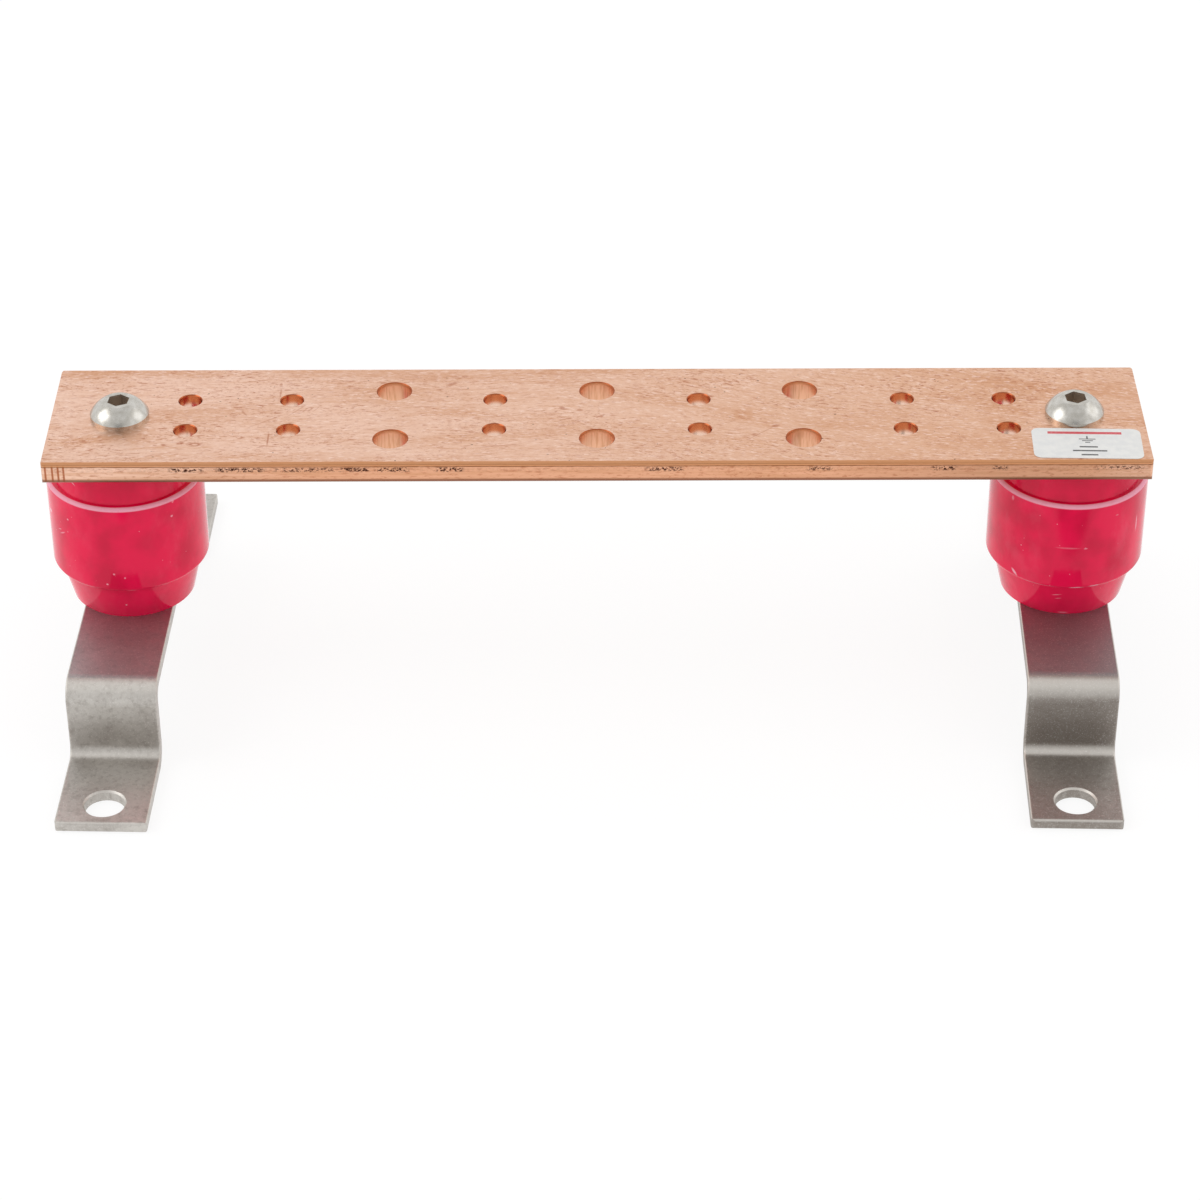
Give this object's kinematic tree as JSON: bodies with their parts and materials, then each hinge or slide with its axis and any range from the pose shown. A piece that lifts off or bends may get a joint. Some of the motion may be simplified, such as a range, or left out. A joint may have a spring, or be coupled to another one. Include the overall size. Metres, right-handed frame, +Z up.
{
  "type": "rack grounding busbar",
  "caption": "Drilled copper bar on two red standoff insulators, each bolted to a hat-shaped stainless bracket, for grounding rack equipment.",
  "frame": {"origin": "centre of the bounding box's underside: in the plane of the feet's undersides, below the middle of the bar", "axes": "+X along the bar (the label is at its +X end), +Y to the rear, +Z up from the feet to the bar"},
  "size_m": [0.311, 0.1678, 0.0873],
  "materials": {
    "copper": null,
    "label": "thin white printed vinyl, slightly satin",
    "screw_steel": "satin stainless steel",
    "insulator": "glossy crimson moulded polyester with light scuffs and dust",
    "insert_brass": "plain machined brass, hidden",
    "bracket_steel": "tumbled stainless strip, grey-brown and softly reflective, with brighter bends and edges"
  },
  "bodies": {
    "root": {"ground_bar": "copper", "label": "label", "bar_screw_left": "screw_steel", "bar_screw_right": "screw_steel", "insulator_left": "insulator", "insulator_right": "insulator", "upper_insert_left": "insert_brass", "upper_insert_right": "insert_brass", "lower_insert_left": "insert_brass", "lower_insert_right": "insert_brass", "bracket_left": "bracket_steel", "bracket_right": "bracket_steel", "lock_washer_left": "screw_steel", "lock_washer_right": "screw_steel", "bracket_bolt_left": "screw_steel", "bracket_bolt_right": "screw_steel"}
  },
  "joints": []
}
